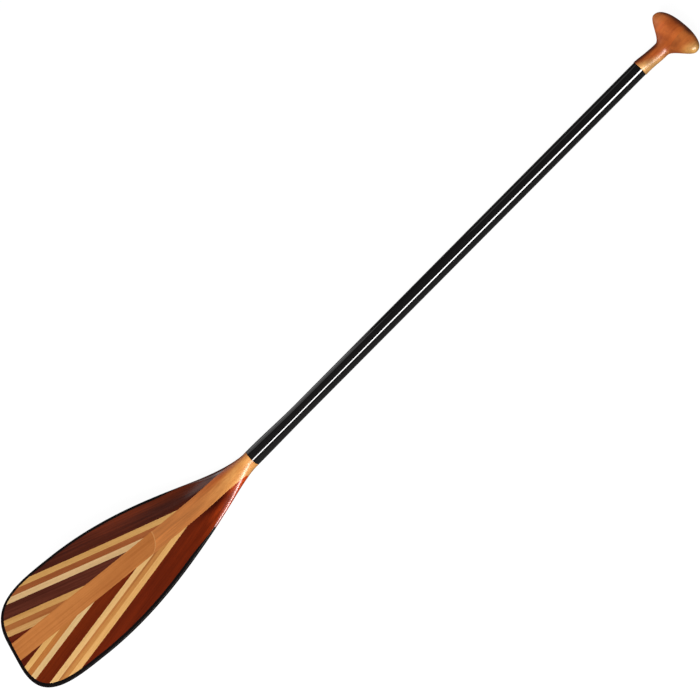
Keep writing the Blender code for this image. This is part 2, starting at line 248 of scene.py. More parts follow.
def round_section(station, radius, sides):
    """A circle of points about the centre line."""
    point, _, normal = centre_line(station)
    turns = [2 * math.pi * i / sides for i in range(sides)]
    return [point + Vector((0, radius * math.cos(t), 0)) + normal * radius * math.sin(t) for t in turns]


def apply_modifiers(piece):
    """Applies the piece's modifiers, with nothing else selected."""
    bpy.ops.object.select_all(action="DESELECT")
    piece.select_set(True)
    bpy.context.view_layer.objects.active = piece
    for modifier in list(piece.modifiers):
        bpy.ops.object.modifier_apply(modifier=modifier.name)


def wrap_grid(name, sections):
    """A grid of quads wrapped round its sections, with its seam merged and its open ends filled."""
    sides = len(sections[0])
    bpy.ops.mesh.primitive_grid_add(x_subdivisions=sides, y_subdivisions=len(sections) - 1)
    piece = bpy.context.object
    piece.name = name
    points = np.array([section + section[:1] for section in sections], np.float32)
    piece.data.vertices.foreach_set("co", points.ravel())
    bpy.ops.object.mode_set(mode="EDIT")
    bpy.ops.mesh.select_all(action="SELECT")
    bpy.ops.mesh.remove_doubles(threshold=MERGE_DISTANCE)
    bpy.ops.mesh.fill_holes(sides=0)
    bpy.ops.mesh.select_all(action="SELECT")
    bpy.ops.mesh.normals_make_consistent(inside=False)
    bpy.ops.object.mode_set(mode="OBJECT")
    bpy.ops.object.shade_smooth()
    return piece


def ride_as(piece, slot, *nodes):
    """The piece moves with the paddle and stands for CAD nodes, which it hides. Its slot is not used."""
    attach(piece, "root")
    if nodes:
        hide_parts(*nodes)


def principled(name):
    """A new material, with its node tree and its shader."""
    look = bpy.data.materials.new(name)
    look.use_nodes = True
    return look, look.node_tree, look.node_tree.nodes["Principled BSDF"]


def mix_colour(tree, share, low, high):
    """A Mix node's colour, this share of the way from low to high."""
    return node(tree, "Mix", {0: share, 6: low, 7: high}, data_type="RGBA").outputs[2]


straight_run = TUBE_LENGTH - TUBE_FLARE_LENGTH
outside = [-TUBE_LENGTH + straight_run * k / TUBE_STRAIGHT_RINGS for k in range(TUBE_STRAIGHT_RINGS)]
outside += [-TUBE_FLARE_LENGTH * (1 - k / TUBE_FLARE_RINGS) for k in range(TUBE_FLARE_RINGS + 1)]
wall_path = [(outside[0], -TUBE_WALL), (outside[0], -TUBE_EDGE), (outside[0] + TUBE_EDGE, 0.0)]
wall_path += [(station, 0.0) for station in outside[1:-1]]
wall_path += [(-TUBE_EDGE, 0.0), (0.0, -TUBE_EDGE), (0.0, -TUBE_WALL)]
wall_path += [(station, -TUBE_WALL) for station in reversed(outside[1:-1])]
sections = [round_section(station, tube_radius(station) + inset, TUBE_SIDES) for station, inset in wall_path]
tube = wrap_grid("carbon_shaft", sections + sections[:1])
bpy.ops.object.shade_smooth_by_angle(angle=SHARP_ANGLE)

look, tree, shader = principled("braided_carbon")
place = node(tree, "SeparateXYZ", {0: node(tree, "TexCoord").outputs["Object"]}).outputs
level = calculate(tree, "SUBTRACT", place["Z"], TUBE_FOOT.z)
turn = calculate(tree, "ARCTAN2", place["Y"], level)
around = calculate(tree, "MULTIPLY", turn, TOWS_ROUND / (2 * math.pi))
lengthwise = calculate(tree, "DIVIDE", place["X"], TOW_LENGTH)
left_tow = calculate(tree, "ADD", lengthwise, around)
right_tow = calculate(tree, "SUBTRACT", lengthwise, around)
steps = calculate(tree, "ADD", calculate(tree, "FLOOR", left_tow), calculate(tree, "FLOOR", right_tow))
over = calculate(tree, "LESS_THAN", calculate(tree, "FLOORED_MODULO", steps, 2.0), 0.5)
left_arch = calculate(tree, "PINGPONG", left_tow, 0.5)
right_arch = calculate(tree, "PINGPONG", right_tow, 0.5)
arch = node(tree, "Mix", {0: over, 2: left_arch, 3: right_arch}).outputs[0]
fibre_place = node(tree, "CombineXYZ", {"X": left_tow, "Y": right_tow}).outputs[0]
left_scale = (FIBRES_ACROSS, FIBRES_ALONG, 1)
right_scale = (FIBRES_ALONG, FIBRES_ACROSS, 1)
blotch_scale = (BLOTCHES_PER_TOW, BLOTCHES_PER_TOW, 1)
left_fibre = node(tree, "Mapping", {"Vector": fibre_place, "Scale": left_scale}).outputs[0]
right_fibre = node(tree, "Mapping", {"Vector": fibre_place, "Scale": right_scale}).outputs[0]
fibre_vector = node(tree, "Mix", {0: over, 4: left_fibre, 5: right_fibre}, data_type="VECTOR").outputs[1]
fibre = node(tree, "TexNoise", {"Vector": fibre_vector, "Scale": 1.0, "Detail": CARBON_DETAIL}).outputs[0]
blotch_place = node(tree, "Mapping", {"Vector": fibre_place, "Scale": blotch_scale}).outputs[0]
blotch = node(tree, "TexNoise", {"Vector": blotch_place, "Scale": 1.0, "Detail": CARBON_DETAIL}).outputs[0]
# A painted glint in the base colour: tows on top, their fibres and blotches brighten it.
painted_glint = calculate(tree, "MULTIPLY", over, fibre)
painted_glint = calculate(tree, "ADD", painted_glint, calculate(tree, "MULTIPLY", fibre, UNDER_PAINTED_GLINT))
painted_glint = calculate(tree, "MULTIPLY", painted_glint, calculate(tree, "ADD", blotch, BLOTCH_FLOOR), clamp=True)
link(tree, mix_colour(tree, painted_glint, TOW_DARK, TOW_BRIGHT), shader.inputs["Base Color"])
link(tree, ramp(tree, fibre, target=TOW_ROUGHNESS), shader.inputs["Roughness"])
bump = node(tree, "Bump", {"Height": arch, "Strength": WEAVE_RELIEF, "Distance": WEAVE_DEPTH}).outputs[0]
link(tree, bump, shader.inputs["Normal"])
shader.inputs["Specular IOR Level"].default_value = 0.0
shader.inputs["Coat Weight"].default_value = 1.0
shader.inputs["Coat Roughness"].default_value = TUBE_HAZE
shader.inputs["Coat IOR"].default_value = CLEAR_IOR
tube.data.materials.append(look)
ride_as(tube, "carbon_tube", "shaft_tube")


# The blade's shape: the sticks and strips are glued into one board, which is then carved, with its tenon,
# to this form, round at the throat and thin and nearly flat below. The pieces further on are cut from it.
BLADE_LENGTH = 0.4862
BLADE_WIDTH = 0.206
FLARE_STATION = 0.006
FLARE_POWER = 1.43
END_LENGTH = 0.1262
END_POWER = 3.5
BLADE_THICKNESS = 0.0066
EDGE_THICKNESS = 0.0052
TAPER_STATION = 0.360
TAPER_POWER = 2.4
FLATTEN_STATION = 0.120
FLAT_SHARE_LIMIT = 0.5
CROWN_POWER = 1.2
STICK_WIDTH = 0.0346
THROAT_TENON = 0.060
JOINT_GAP = 0.0003
BLADE_SIDES = 128
UPPER_RINGS = 90
LOWER_RINGS = 48
THROAT_CROWDING = 1.3
EDGE_CROWDING = 0.5
END_RING_SHARE = 0.8
WIDEST_STATION = BLADE_LENGTH - END_LENGTH


def half_width(station):
    """Half of the blade's width: a flare down to the widest station, then a rounded end."""
    if station <= WIDEST_STATION:
        left = min(1.0, (WIDEST_STATION - station) / (WIDEST_STATION - FLARE_STATION))
        return mix(THROAT_DIAMETER, BLADE_WIDTH, (1 - left**2) ** FLARE_POWER) / 2
    share = (station - WIDEST_STATION) / END_LENGTH
    return BLADE_WIDTH / 2 * max(0.0, 1 - share**END_POWER) ** (1 / END_POWER)


def half_thickness(station):
    """Half of the blade's thickness in the middle: the tube's size at the throat, and thin below."""
    left = max(0.0, 1 - station / TAPER_STATION)
    return mix(BLADE_THICKNESS, THROAT_DIAMETER, left**TAPER_POWER) / 2


def surface_height(station, width, side):
    """Height of the face above the centre plane, at this far to the side of the centre line."""
    flatness = smooth(station / FLATTEN_STATION)
    middle = half_thickness(station)
    edge = mix(middle, EDGE_THICKNESS / 2, flatness)
    flat = flatness * min(STICK_WIDTH / 2, FLAT_SHARE_LIMIT * width)
    slope = max(0.0, abs(side) - flat) / (width - flat)
    height = edge + (middle - edge) * max(0.0, 1 - slope**2) ** CROWN_POWER
    rounding = mix(width, edge, flatness)
    into_rounding = min(1.0, max(0.0, abs(side) - (width - rounding)) / rounding)
    into_tip = min(1.0, max(0.0, station - (BLADE_LENGTH - edge)) / edge)
    return height * math.sqrt(1 - into_rounding**2) * math.sqrt(1 - into_tip**2)


def blade_section(station, width):
    """A ring of points round the blade, closer together round its thin edges."""
    point, _, normal = centre_line(station)
    crowding = EDGE_CROWDING * smooth(station / FLATTEN_STATION)
    ring = []
    for i in range(BLADE_SIDES):
        turn = 2 * math.pi * i / BLADE_SIDES
        turn -= crowding * math.sin(2 * turn) / 2
        side = width * math.cos(turn)
        height = math.copysign(surface_height(station, width, side), math.sin(turn))
        ring.append(point + Vector((0, side, 0)) + normal * height)
    return ring


sections = []
for station in (-THROAT_TENON, -THROAT_TENON / 2, JOINT_GAP):
    sections.append(round_section(station, tube_radius(station) - TUBE_WALL - JOINT_GAP, BLADE_SIDES))
stations = [JOINT_GAP]
stations += [WIDEST_STATION * (k / UPPER_RINGS) ** THROAT_CROWDING for k in range(1, UPPER_RINGS + 1)]
for k in range(1, LOWER_RINGS):
    turn = math.radians(90 * k / LOWER_RINGS)
    stations.append(WIDEST_STATION + END_LENGTH * math.sin(turn) ** (2 / END_POWER))
sections += [blade_section(station, half_width(station)) for station in stations if station >= JOINT_GAP]
end_width = half_width(mix(stations[-1], BLADE_LENGTH, END_RING_SHARE))
sections.append(blade_section(BLADE_LENGTH, end_width))
blade_form = wrap_grid("blade_form", sections)
blade_form.hide_render = True


# The edge guard: a band of black resin cast round the blade, 6 mm wide, which narrows up each side and
# ends by the throat at 1.5 mm. It is sanded flush with the wood and rounded at the outside.
GUARD_WIDTH = 0.006
GUARD_END_WIDTH = 0.0015
GUARD_STATION = 0.112
GUARD_TAPER = 0.060
GLUE_LINE = 0.00002
PROBE_STEP = 0.0005
CUT_REACH = 0.060
CUT_FAR = 0.300
SAME_FACE = 0.5
INK_DARK = (0.004, 0.003, 0.003, 1)
INK_PALE = (0.008, 0.006, 0.006, 1)
CLOUD_SCALE = 45.0
CLOUD_DETAIL = 4.0
CLOUD_RANGE = (0.3, 0.7)
INK_ROUGHNESS = (0.28, 0.42)
INK_SHEEN = 0.04
DUST_SCALE = 900.0
DUST_DETAIL = 2.0
DUST_RELIEF = 0.05
DUST_HEIGHT = 0.0002

corner_station = BEND_STATION + BEND_RADIUS * math.tan(BEND_ANGLE / 2)
CORNER = TUBE_FOOT - Vector((corner_station, 0, 0))
_, DOWN, NORMAL = centre_line(BLADE_LENGTH)


def along_blade(station):
    """A station on the blade's straight run, as a distance from the bend's corner."""
    return station - BEND_STATION - BEND_RADIUS * BEND_ANGLE + corner_station - BEND_STATION


def block(plan, lean=0.0):
    """A cutting block over a plan of (along, side) points, square to the blade or leaning along it."""
    stand = NORMAL + lean * DOWN
    bpy.ops.mesh.primitive_circle_add(vertices=len(plan), fill_type="NGON")
    cutter = bpy.context.object
    for vertex, (along, side) in zip(cutter.data.vertices, plan):
        vertex.co = CORNER + along * DOWN + Vector((0, side, 0)) - CUT_REACH * stand
    bpy.ops.object.mode_set(mode="EDIT")
    bpy.ops.mesh.select_all(action="SELECT")
    bpy.ops.mesh.extrude_region_move(TRANSFORM_OT_translate={"value": 2 * CUT_REACH * stand})
    bpy.ops.mesh.select_all(action="SELECT")
    bpy.ops.mesh.normals_make_consistent(inside=False)
    bpy.ops.object.mode_set(mode="OBJECT")
    return cutter


def cut_copy(name, form, cutter, operation):
    """A copy of a form, cut by a block or kept inside it. The block is used up."""
    piece = bpy.data.objects.new(name, form.data.copy())
    bpy.context.collection.objects.link(piece)
    modifier = piece.modifiers.new("cut", "BOOLEAN")
    modifier.operation = operation
    modifier.object = cutter
    apply_modifiers(piece)
    bpy.data.objects.remove(cutter)
    return piece


def sand_flush(piece, form):
    """Takes the shading of the faces from the uncut form, so that reflections run on over the glue lines."""
    transfer = piece.modifiers.new("flush", "DATA_TRANSFER")
    transfer.object = form
    transfer.use_loop_data = True
    transfer.data_types_loops = {"CUSTOM_NORMAL"}
    transfer.loop_mapping = "POLYINTERP_NEAREST"
    apply_modifiers(piece)
    mesh = piece.data
    shaded = [corner.vector.copy() for corner in mesh.corner_normals]
    for face in mesh.polygons:
        for loop in face.loop_indices:
            if shaded[loop].dot(face.normal) < SAME_FACE:
                shaded[loop] = face.normal.copy()
    mesh.normals_split_custom_set(shaded)


def guard_inner_edge(extra):
    """One side of the guard's inner edge, as (along, side) points from its upper end to the tip."""
    points = []
    inner = [GUARD_STATION] + [s for s in stations if s > GUARD_STATION] + [BLADE_LENGTH]
    for station in inner:
        width = half_width(station)
        before = Vector((-PROBE_STEP, half_width(station - PROBE_STEP) - width))
        across = Vector((-before.y, before.x)).normalized()
        if station == BLADE_LENGTH:
            across = Vector((-1, 0))
        inset = mix(GUARD_END_WIDTH, GUARD_WIDTH, smooth((station - GUARD_STATION) / GUARD_TAPER)) - extra
        points.append((along_blade(station) + across.x * inset, max(0.0, width + across.y * inset)))
    return points


def wood_plan(extra, end_shift):
    """The plan of all the wood inside the guard, throat and tenon with it."""
    edge = guard_inner_edge(extra)
    start = edge[0][0] - end_shift
    left = [(-CUT_FAR, BLADE_WIDTH), (start, BLADE_WIDTH), (start, edge[0][1])] + edge[1:]
    return left + [(along, -side) for along, side in reversed(left[:-1])]


guard = cut_copy("resin_edge_guard", blade_form, block(wood_plan(GLUE_LINE, 0.0)), "DIFFERENCE")
sand_flush(guard, blade_form)
look, tree, shader = principled("black_resin")
place = node(tree, "TexCoord").outputs["Object"]
cloud = node(tree, "TexNoise", {"Vector": place, "Scale": CLOUD_SCALE, "Detail": CLOUD_DETAIL}).outputs[0]
dust = node(tree, "TexNoise", {"Vector": place, "Scale": DUST_SCALE, "Detail": DUST_DETAIL}).outputs[0]
link(tree, mix_colour(tree, cloud, INK_DARK, INK_PALE), shader.inputs["Base Color"])
link(tree, ramp(tree, cloud, CLOUD_RANGE, INK_ROUGHNESS), shader.inputs["Roughness"])
shader.inputs["Specular IOR Level"].default_value = INK_SHEEN
bump = node(tree, "Bump", {"Height": dust, "Strength": DUST_RELIEF, "Distance": DUST_HEIGHT}).outputs[0]
link(tree, bump, shader.inputs["Normal"])
guard.data.materials.append(look)
ride_as(guard, "edge_resin", "edge_guard")


# The sticks: the throat stick, in one piece with the tenon, is of golden alder that darkens to orange-brown
# downwards. Its left flank is darker and rusty: partly heartwood, partly painted shade. A long curved scarf
# joins it to the centre stick, which is of redder alder and runs on to the tip.
SCARF_REACH = 0.2642
SCARF_SWEEP = 0.025
SCARF_SLOPE = 5.0
SCARF_POINTS = 24
SCARF_STATION = BLADE_LENGTH - SCARF_REACH
FAR = BLADE_LENGTH + CUT_REACH * SCARF_SLOPE
# The tints of the stored darkening: heartwood in the right panel, painted shade on the grip and throat flank.
HEARTWOOD_AND_SHADE_TINT = (0.24, 0.14, 0.09, 1.0)
RUSTY_TINT = (0.60, 0.27, 0.06, 1.0)
THROAT_HAZE = 0.34
GLARE_START = 0.50
GLARE_END = 0.78
LOW_GLOSS = 0.06
PORE_RELIEF = 0.1
PORE_DEPTH = 0.0001
# The throat's darker left flank: partly heartwood, partly painted shade.
FLANK_SHADE = 0.90
FLANK_ACROSS = (-0.003, 0.013)
FLANK_ALONG = (0.0, 0.08)

# The sizes of the woods' figure: how many waves a metre holds along the grain, across it and in depth.
BROAD_WAVES = (6, 42, 42)
STREAK_WAVES = (9, 330, 330)
FIBRE_WAVES = (45, 2400, 2400)
RIPPLE_WAVES = (90, 16, 16)
MOTTLE_WAVES = (50, 60, 60)
PORE_WAVES = (170, 2900, 2900)
WANDER_WAVES = (5, 22, 22)

# The strength of what all the woods share. Each wood sets the rest for itself.
RING_WANDER = 0.020
RING_WIDTH = 0.004
RING_SHARPNESS = 2.5
FIBRE_STRENGTH = 0.45
MIDDLE_TONE = 0.58
BROAD_DRIFT = 0.7
STREAK_DRIFT = 0.4
FAR_CONTRAST = 0.5
FAR_FLOOR = 0.7
PORE_RANGE = (0.60, 0.72)
DARKNESS_DRIFT = 1.4
WOOD_ROUGHNESS = (0.42, 0.62)


def scarf_line(shift):
    """The scarf across the stick, a quarter of an ellipse, at its station where it meets the upper face."""
    half = (STICK_WIDTH - GLUE_LINE) / 2
    end = along_blade(SCARF_STATION) - SCARF_SLOPE * half_thickness(SCARF_STATION) + shift
    turns = [math.radians(90 * k / SCARF_POINTS) for k in range(SCARF_POINTS + 1)]
    return [(end - SCARF_SWEEP * math.cos(t), half * (1 - 2 * math.sin(t))) for t in turns]


def fade(values, start, end):
    """A smooth step from 0 to 1 over an array."""
    share = np.clip((values - start) / (end - start), 0, 1)
    return share * share * (3 - 2 * share)


def lay_grain(piece, start, along, across, darkening=None):
    """Stores where each point lies in its own wood, along, across and in depth, and how dark it is there."""
    mesh = piece.data
    points = np.empty(len(mesh.vertices) * 3, np.float32)
    mesh.vertices.foreach_get("co", points)
    axes = np.array((along, across, along.cross(across)))
    grain = (points.reshape(-1, 3) - np.array(start)) @ axes.T
    mesh.attributes.new("grain", "FLOAT_VECTOR", "POINT").data.foreach_set("vector", grain.ravel())
    corners = np.empty(len(mesh.loops), np.int32)
    shading = np.empty(len(mesh.loops) * 3, np.float32)
    mesh.loops.foreach_get("vertex_index", corners)
    mesh.corner_normals.foreach_get("vector", shading)
    end_grain = np.full(len(grain), -1.0)
    np.maximum.at(end_grain, corners, shading.reshape(-1, 3) @ np.array(along))
    dark = darkening(grain, end_grain) if darkening else np.zeros(len(grain))
    mesh.attributes.new("darkening", "FLOAT", "POINT").data.foreach_set("value", dark.astype(np.float32))


def rgb(red, green, blue):
    """A linear colour from the 0 to 255 values of a screen colour."""
    return tuple(((c / 255 + 0.055) / 1.055) ** 2.4 if c > 10 else c / 255 / 12.92
                 for c in (red, green, blue)) + (1.0,)


def wood_figure_group():
    """The node group of all the woods: blotches, streaks, growth rings, cross figure and pores."""
    group = bpy.data.node_groups.new("wood_figure", "ShaderNodeTree")
    for kind, names in (
        ("Vector", ("Seed", "Far Axis")),
        ("Color", ("Pale", "Deep", "Far Color", "Dark Tint")),
        ("Float", ("Far Start", "Far End", "Far Wander", "Ring Strength", "Blotch Strength",
                   "Mottle Strength", "Streak Strength", "Ripple Strength", "Pore Strength")),
    ):
        for name in names:
            group.interface.new_socket(name, in_out="INPUT", socket_type="NodeSocket" + kind)
    for name, kind in (("Color", "Color"), ("Roughness", "Float"), ("Height", "Float")):
        group.interface.new_socket(name, in_out="OUTPUT", socket_type="NodeSocket" + kind)
    given = group.nodes.new("NodeGroupInput").outputs
    grain = node(group, "Attribute", attribute_name="grain").outputs["Vector"]
    seeded = node(group, "VectorMath", {0: grain, 1: given["Seed"]}, operation="ADD").outputs[0]

    def noise(waves, detail):
        """Noise drawn out along the grain."""
        place = node(group, "VectorMath", {0: seeded, 1: waves}, operation="MULTIPLY").outputs[0]
        return node(group, "TexNoise", {"Vector": place, "Scale": 1.0, "Detail": detail}).outputs[0]

    def centred(value, strength):
        """A noise made to swing about 0, by half of this strength each way."""
        return calculate(group, "MULTIPLY", calculate(group, "SUBTRACT", value, 0.5), strength)

    broad = noise(BROAD_WAVES, detail=2.0)
    streak = noise(STREAK_WAVES, detail=3.0)
    fibre = noise(FIBRE_WAVES, detail=2.0)
    ripple = noise(RIPPLE_WAVES, detail=2.0)
    mottle = noise(MOTTLE_WAVES, detail=3.0)
    pore = noise(PORE_WAVES, detail=1.0)

    across = node(group, "SeparateXYZ", {0: seeded}).outputs["Y"]
    wander = centred(noise(WANDER_WAVES, detail=2.0), RING_WANDER)
    phase = calculate(group, "DIVIDE", calculate(group, "ADD", across, wander), RING_WIDTH)
    ring = calculate(group, "POWER", calculate(group, "PINGPONG", phase, 1.0), RING_SHARPNESS)
    ring = calculate(group, "MULTIPLY", ring, calculate(group, "MULTIPLY", broad, given["Ring Strength"]))
    blotches = centred(broad, given["Blotch Strength"])
    tone = calculate(group, "ADD", blotches, centred(streak, given["Streak Strength"]))
    tone = calculate(group, "ADD", tone, centred(fibre, FIBRE_STRENGTH))
    tone = calculate(group, "ADD", tone, centred(mottle, given["Mottle Strength"]))
    tone = calculate(group, "ADD", calculate(group, "SUBTRACT", tone, ring), MIDDLE_TONE, clamp=True)
    base = mix_colour(group, tone, given["Deep"], given["Pale"])

    reached = node(group, "VectorMath", {0: grain, 1: given["Far Axis"]}, operation="DOT_PRODUCT").outputs[1]
    drift = calculate(group, "ADD", centred(broad, BROAD_DRIFT), centred(streak, STREAK_DRIFT))
    edge = calculate(group, "MULTIPLY_ADD", drift, given["Far Wander"], reached)
    far_share = ramp(group, edge, (given["Far Start"], given["Far End"]), curve="SMOOTHSTEP")
    shade = calculate(group, "MULTIPLY_ADD", tone, FAR_CONTRAST, FAR_FLOOR)
    far = node(group, "VectorMath", {0: given["Far Color"], "Scale": shade}, operation="SCALE").outputs[0]
    base = mix_colour(group, far_share, base, far)

    pore = calculate(group, "MULTIPLY", ramp(group, pore, PORE_RANGE), given["Pore Strength"])
    light = calculate(group, "ADD", 1.0, centred(ripple, given["Ripple Strength"]))
    light = calculate(group, "MULTIPLY", light, calculate(group, "SUBTRACT", 1.0, pore))
    # The stored darkening, heartwood on some pieces and painted shade on others, tints the colour.
    dark = node(group, "Attribute", attribute_name="darkening").outputs["Fac"]
    uneven = calculate(group, "ADD", 1.0, centred(broad, DARKNESS_DRIFT))
    dark = calculate(group, "MULTIPLY", dark, uneven, clamp=True)
    darkening_tint = mix_colour(group, dark, (1, 1, 1, 1), given["Dark Tint"])
    final = node(group, "VectorMath", {0: base, "Scale": light}, operation="SCALE").outputs[0]
    final = node(group, "VectorMath", {0: final, 1: darkening_tint}, operation="MULTIPLY").outputs[0]
    rough = ramp(group, fibre, target=WOOD_ROUGHNESS)
    height = calculate(group, "SUBTRACT", fibre, pore)
    result = group.nodes.new("NodeGroupOutput").inputs
    for name, value in (("Color", final), ("Roughness", rough), ("Height", height)):
        group.links.new(value, result[name])
    return group


WOOD_FIGURE = wood_figure_group()


def varnished_wood(name, seed, pale, deep, far=None, far_axis=(0, 1, 0), far_start=1.0, far_end=1.1,
                   wander=0.03, rings=0.4, blotches=1.8, mottle=0.0, streaks=1.6, ripple=0.12, pores=0.25,
                   haze=0.10, varnish=1.0, dark_tint=HEARTWOOD_AND_SHADE_TINT):
    """Wood of these colours under a clear varnish, whose mirror is held down at low angles."""
    look, tree, shader = principled(name)
    figure = tree.nodes.new("ShaderNodeGroup")
    figure.node_tree = WOOD_FIGURE
    values = {"Seed": seed, "Pale": rgb(*pale), "Deep": rgb(*deep), "Far Color": rgb(*(far or pale)),
              "Far Axis": far_axis, "Far Start": far_start, "Far End": far_end, "Far Wander": wander,
              "Ring Strength": rings, "Blotch Strength": blotches, "Mottle Strength": mottle,
              "Streak Strength": streaks, "Ripple Strength": ripple, "Pore Strength": pores,
              "Dark Tint": dark_tint}
    for key, value in values.items():
        figure.inputs[key].default_value = value
    link(tree, figure.outputs["Color"], shader.inputs["Base Color"])
    link(tree, figure.outputs["Roughness"], shader.inputs["Roughness"])
    bump = node(tree, "Bump", {"Height": figure.outputs["Height"], "Strength": PORE_RELIEF,
                               "Distance": PORE_DEPTH}).outputs[0]
    link(tree, bump, shader.inputs["Normal"])
    shader.inputs["Specular IOR Level"].default_value = 0.0
    facing = node(tree, "LayerWeight", {"Blend": 0.5}).outputs["Facing"]
    gloss = ramp(tree, facing, (GLARE_START, GLARE_END), (varnish, varnish * LOW_GLOSS), "SMOOTHSTEP")
    link(tree, gloss, shader.inputs["Coat Weight"])
    shader.inputs["Coat Roughness"].default_value = haze
    shader.inputs["Coat IOR"].default_value = CLEAR_IOR
    return look


stick_half = (STICK_WIDTH - GLUE_LINE) / 2
seam = JOINT_GAP * math.hypot(1, SCARF_SLOPE) / 2
upper_end = -CUT_FAR - CUT_REACH * SCARF_SLOPE
plan = [(upper_end, -stick_half)] + scarf_line(-seam)[::-1] + [(upper_end, stick_half)]
throat = cut_copy("throat_stick_wood", blade_form, block(plan, SCARF_SLOPE), "INTERSECT")
sand_flush(throat, blade_form)


def painted_shade_left_flank(grain, _):
    """Darker, rusty left flank of the throat: partly heartwood, partly painted shade."""
    along, leftwards = grain[:, 0], -grain[:, 1]
    return FLANK_SHADE * fade(leftwards, *FLANK_ACROSS) * (1 - fade(along, *FLANK_ALONG))


lay_grain(throat, CORNER, DOWN, RIGHTWARDS, painted_shade_left_flank)
throat.data.materials.append(
    varnished_wood("golden_alder", (1.3, 0.2, 0.4), (228, 161, 88), (198, 122, 56), far=(198, 120, 58),
                   far_axis=(1, 0, 0), far_start=-0.045, far_end=0.075, rings=0.1, pores=0.15,
                   haze=THROAT_HAZE, dark_tint=RUSTY_TINT))
ride_as(throat, "throat_wood", "throat_stick")

wood_form = cut_copy("wood_form", blade_form, block(wood_plan(0.0, GLUE_LINE)), "INTERSECT")
wood_form.hide_render = True
plan = scarf_line(seam) + [(FAR, -stick_half), (FAR, stick_half)]
centre = cut_copy("centre_stick_wood", wood_form, block(plan, SCARF_SLOPE), "INTERSECT")
sand_flush(centre, blade_form)
lay_grain(centre, CORNER, DOWN, RIGHTWARDS)
centre.data.materials.append(
    varnished_wood("red_alder", (2.7, 0.9, 0.1), (194, 122, 64), (172, 102, 50), rings=0.3, pores=0.15))
ride_as(centre, "centre_wood", "centre_stick")


# The scarf's glue line: thickened resin in the slanting joint between the two sticks. Planed flush, it
# shows on each face as a pale curved line 1.5 mm wide.
line_plan = scarf_line(-seam + GLUE_LINE) + scarf_line(seam - GLUE_LINE)[::-1]
scarf_glue = cut_copy("scarf_glue_line", blade_form, block(line_plan, SCARF_SLOPE), "INTERSECT")
sand_flush(scarf_glue, blade_form)
lay_grain(scarf_glue, CORNER, DOWN, RIGHTWARDS)
scarf_glue.data.materials.append(
    varnished_wood("scarf_resin", (4.1, 0.3, 0.6), (204, 146, 90), (190, 128, 74), rings=0.0, pores=0.1))
ride_as(scarf_glue, "centre_wood")


# The laminations: on each side of the sticks lie a dark outer panel, a fan of thin pale, tan and cream
# strips, a dark strip, a second fan and a dark wedge at the tip. All run back from the sticks at 17 degrees.
CHEVRON_ANGLE = math.radians(17.1)
FAN_REACH = 0.3397
FAN_STRIP_WIDTH = 0.0101
DARK_STRIP_WIDTH = 0.0247
HEARTWOOD_DARKNESS = 0.75
HEARTWOOD_ACROSS = (0.003, 0.017)
HEARTWOOD_START = (0.0, 0.06)
HEARTWOOD_END = (0.070, 0.098)
SEED_ALONG = 0.37
SEED_ACROSS = 0.11
SEED_DEPTH = 0.5


def chevron_line(crossing, side):
    """How far along the blade a glue line from this crossing has got, this far to the side."""
    return crossing + (side - STICK_WIDTH / 2) / math.tan(CHEVRON_ANGLE)


def lamination_plan(first, last, mirror):
    """The plan of one strip, between the glue lines that leave the stick at first and last."""
    slant = GLUE_LINE / 2 / math.sin(CHEVRON_ANGLE)
    near = (STICK_WIDTH + GLUE_LINE) / 2
    far = BLADE_WIDTH
    if first is None:
        upper = [(-CUT_FAR, near), (-CUT_FAR, far)]
    else:
        upper = [(chevron_line(first, near) + slant, near), (chevron_line(first, far) + slant, far)]
    if last is None:
        lower = [(BLADE_LENGTH + chevron_line(0, far), far), (BLADE_LENGTH + chevron_line(0, far), near)]
    else:
        lower = [(chevron_line(last, far) - slant, far), (chevron_line(last, near) - slant, near)]
    return [(along, side * mirror) for along, side in upper + lower]


def darker_by_the_throat(grain, _):
    """Heartwood beside the upper part of the stick, in the right outer panel."""
    outwards = grain[:, 0] * math.sin(CHEVRON_ANGLE) + grain[:, 1] * math.cos(CHEVRON_ANGLE)
    upwards = grain[:, 1] * math.sin(CHEVRON_ANGLE) - grain[:, 0] * math.cos(CHEVRON_ANGLE)
    across = 1 - fade(outwards, *HEARTWOOD_ACROSS)
    return HEARTWOOD_DARKNESS * across * fade(upwards, *HEARTWOOD_START) * (1 - fade(upwards, *HEARTWOOD_END))


RIGHT_WOODS = {
    "outer_panel": dict(pale=(113, 34, 5), deep=(85, 22, 2), far=(220, 78, 8), far_axis=(-0.18, 1, 0),
                        far_start=0.026, far_end=0.078, streaks=1.8, pores=0.35, haze=0.24, varnish=0.8),
    "pale_strip_1": dict(pale=(228, 176, 108), deep=(210, 154, 88)),
    "mid_strip_1": dict(pale=(198, 136, 72), deep=(180, 116, 60), far=(182, 116, 62), far_axis=(0, -1, 0),
                        far_start=0.0062, far_end=0.0072, wander=0.001),
    "cream_strip_1": dict(pale=(228, 182, 120), deep=(208, 164, 100)),
    "dark_strip": dict(pale=(114, 40, 11), deep=(90, 27, 7), streaks=1.6, pores=0.35),
    "pale_strip_2": dict(pale=(226, 188, 132), deep=(206, 168, 112)),
    "mid_strip_2": dict(pale=(188, 120, 60), deep=(168, 100, 48)),
    "cream_strip_2": dict(pale=(222, 172, 104), deep=(204, 154, 88)),
    "tip_wedge": dict(pale=(98, 32, 13), deep=(74, 20, 8), pores=0.35),
}
